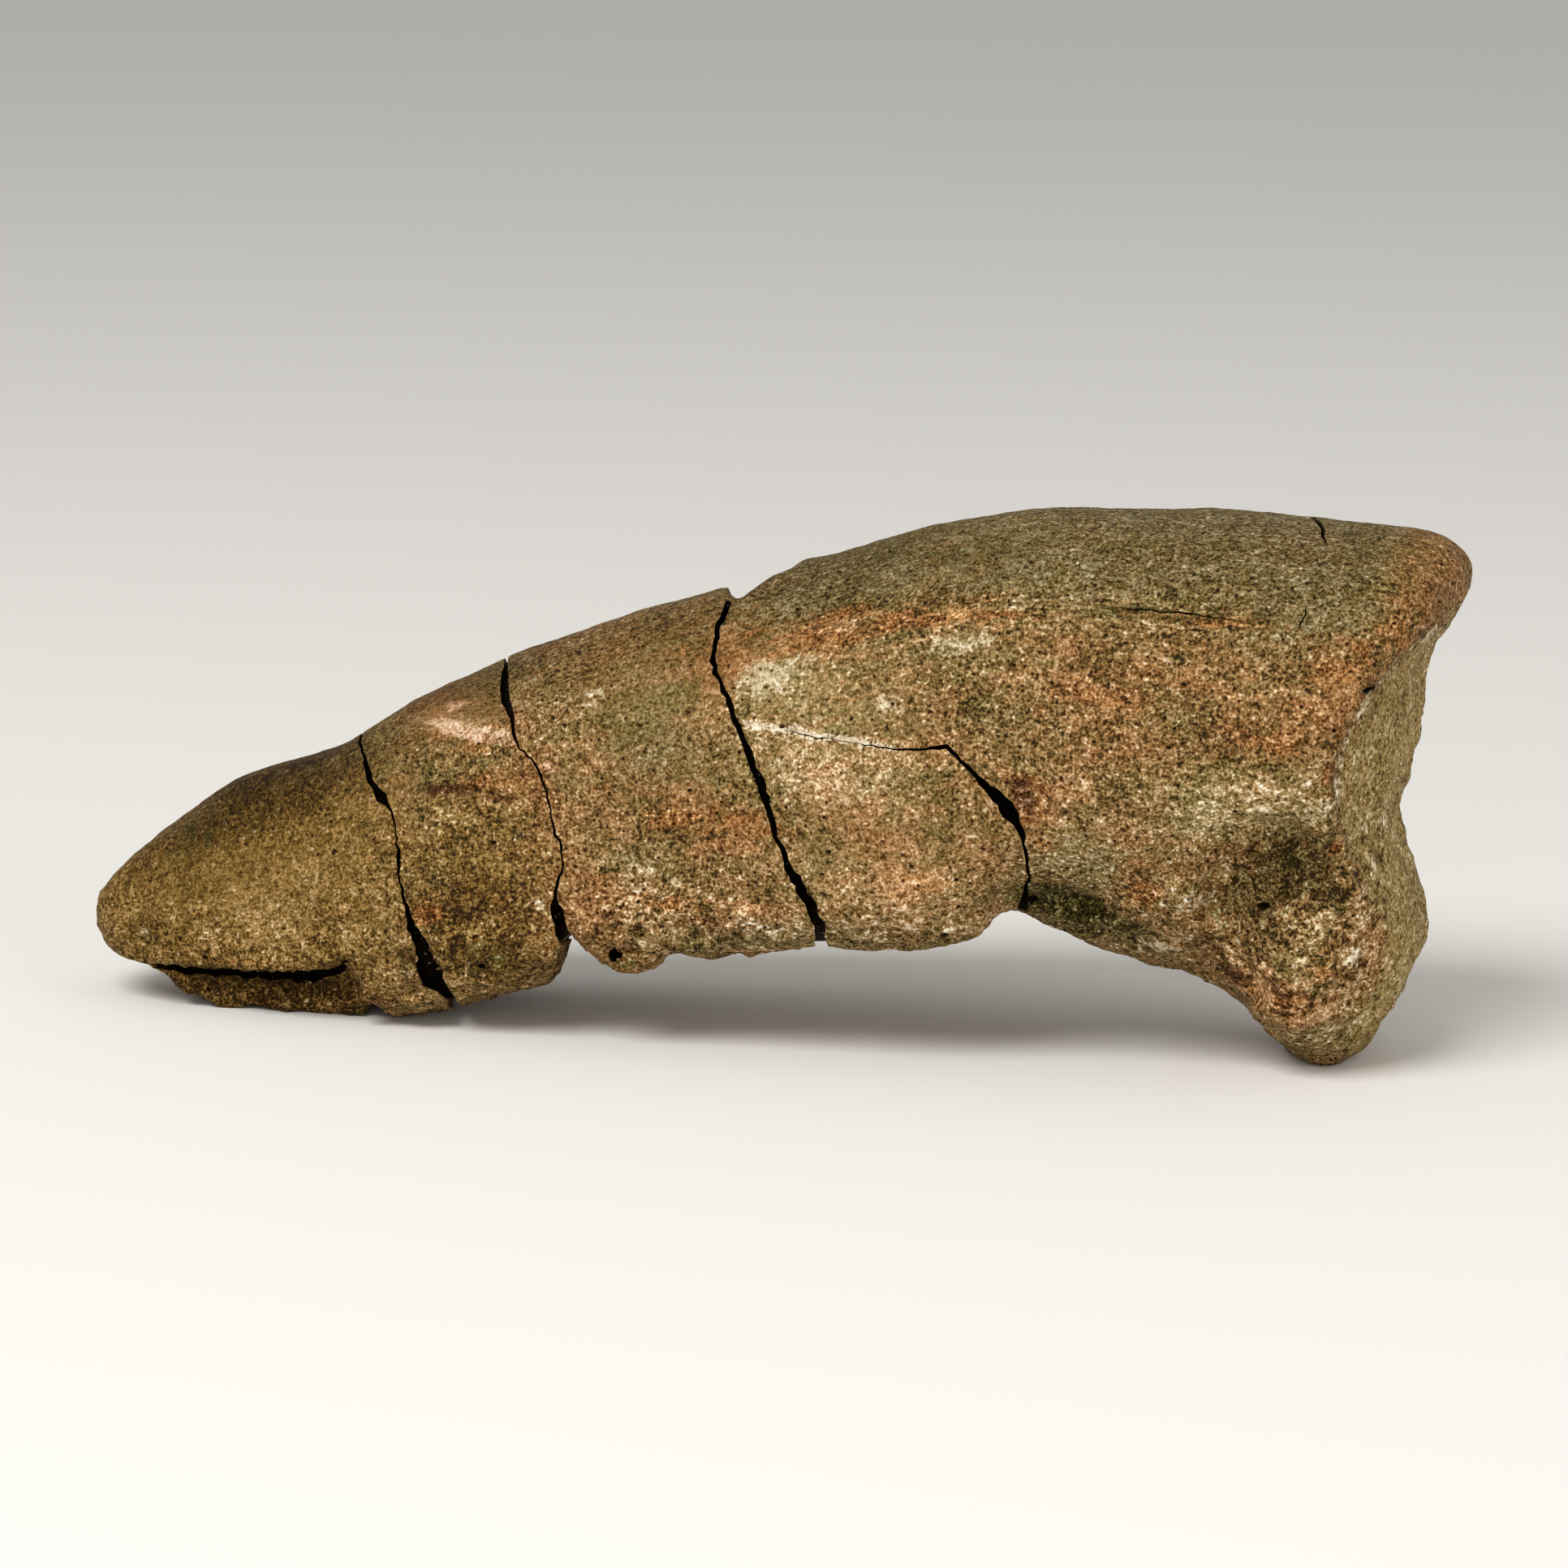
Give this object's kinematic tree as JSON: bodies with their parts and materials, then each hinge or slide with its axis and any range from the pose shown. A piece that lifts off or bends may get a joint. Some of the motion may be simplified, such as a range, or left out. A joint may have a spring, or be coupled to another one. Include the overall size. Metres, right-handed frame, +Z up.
{
  "type": "fossil claw",
  "caption": "Curved fossil foot claw: a blunt, arched toe bone with a cupped joint face, a low tendon lump under it, and mended breaks across the shaft.",
  "frame": {"origin": "on the surface that the claw rests on, below the middle of its box", "axes": "+X from the tip towards the joint face, +Z up, -Y towards the flank that shows the wedge-shaped break"},
  "size_m": [0.0618, 0.0189, 0.0237],
  "materials": {
    "bone": "fine-grained mineralised bone, mostly matt, with small glossy spots"
  },
  "bodies": {
    "root": {"claw": "bone"}
  },
  "joints": []
}
